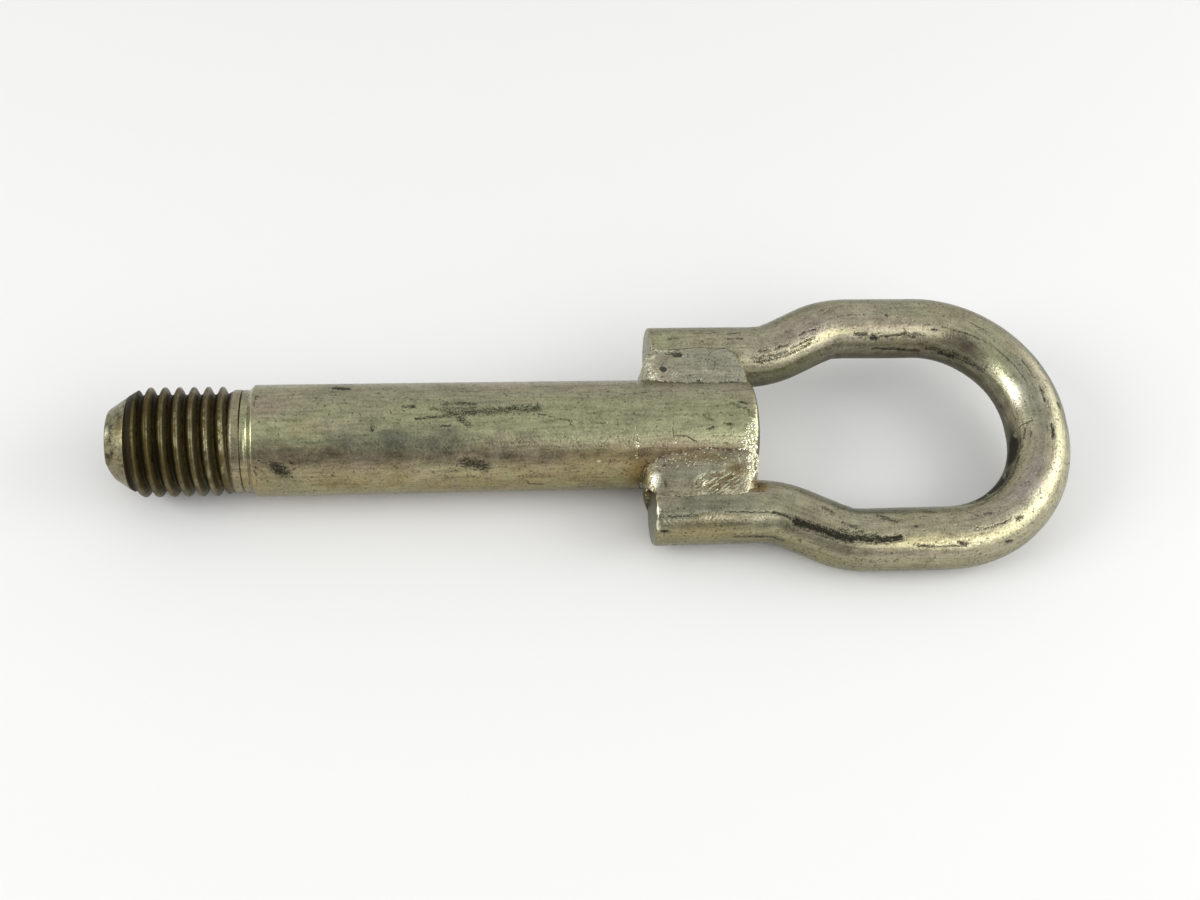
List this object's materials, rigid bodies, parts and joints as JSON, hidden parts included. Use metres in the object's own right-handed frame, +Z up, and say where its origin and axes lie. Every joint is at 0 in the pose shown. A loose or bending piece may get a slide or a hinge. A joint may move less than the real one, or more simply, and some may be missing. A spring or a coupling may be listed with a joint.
{
  "type": "tow eye",
  "caption": "Screw-in tow eye: a round steel shank with a coarse thread at its nose and a bent round-bar loop welded to its back end, to take a tow hook or shackle.",
  "frame": {"origin": "on the ground under the middle of the part's box, as it lies on its shank and one arm of the eye", "axes": "+X along the shank from the threaded nose to the eye, +Y to the raised arm, +Z up"},
  "size_m": [0.1766, 0.0548, 0.02],
  "materials": {
    "plated_shank": "worn yellow-passivated zinc plating over a thread-rolled steel shank",
    "plated_bar": "worn yellow-passivated zinc plating over a hot-bent round bar, with die marks",
    "weld_metal": "plated weld bead with solidification ripples and pits"
  },
  "bodies": {
    "root": {"threaded_shank": "plated_shank", "eye_loop": "plated_bar", "weld_bead_far_top": "weld_metal", "weld_bead_far_under": "weld_metal", "weld_bead_near_top": "weld_metal", "weld_bead_near_under": "weld_metal"}
  },
  "joints": []
}
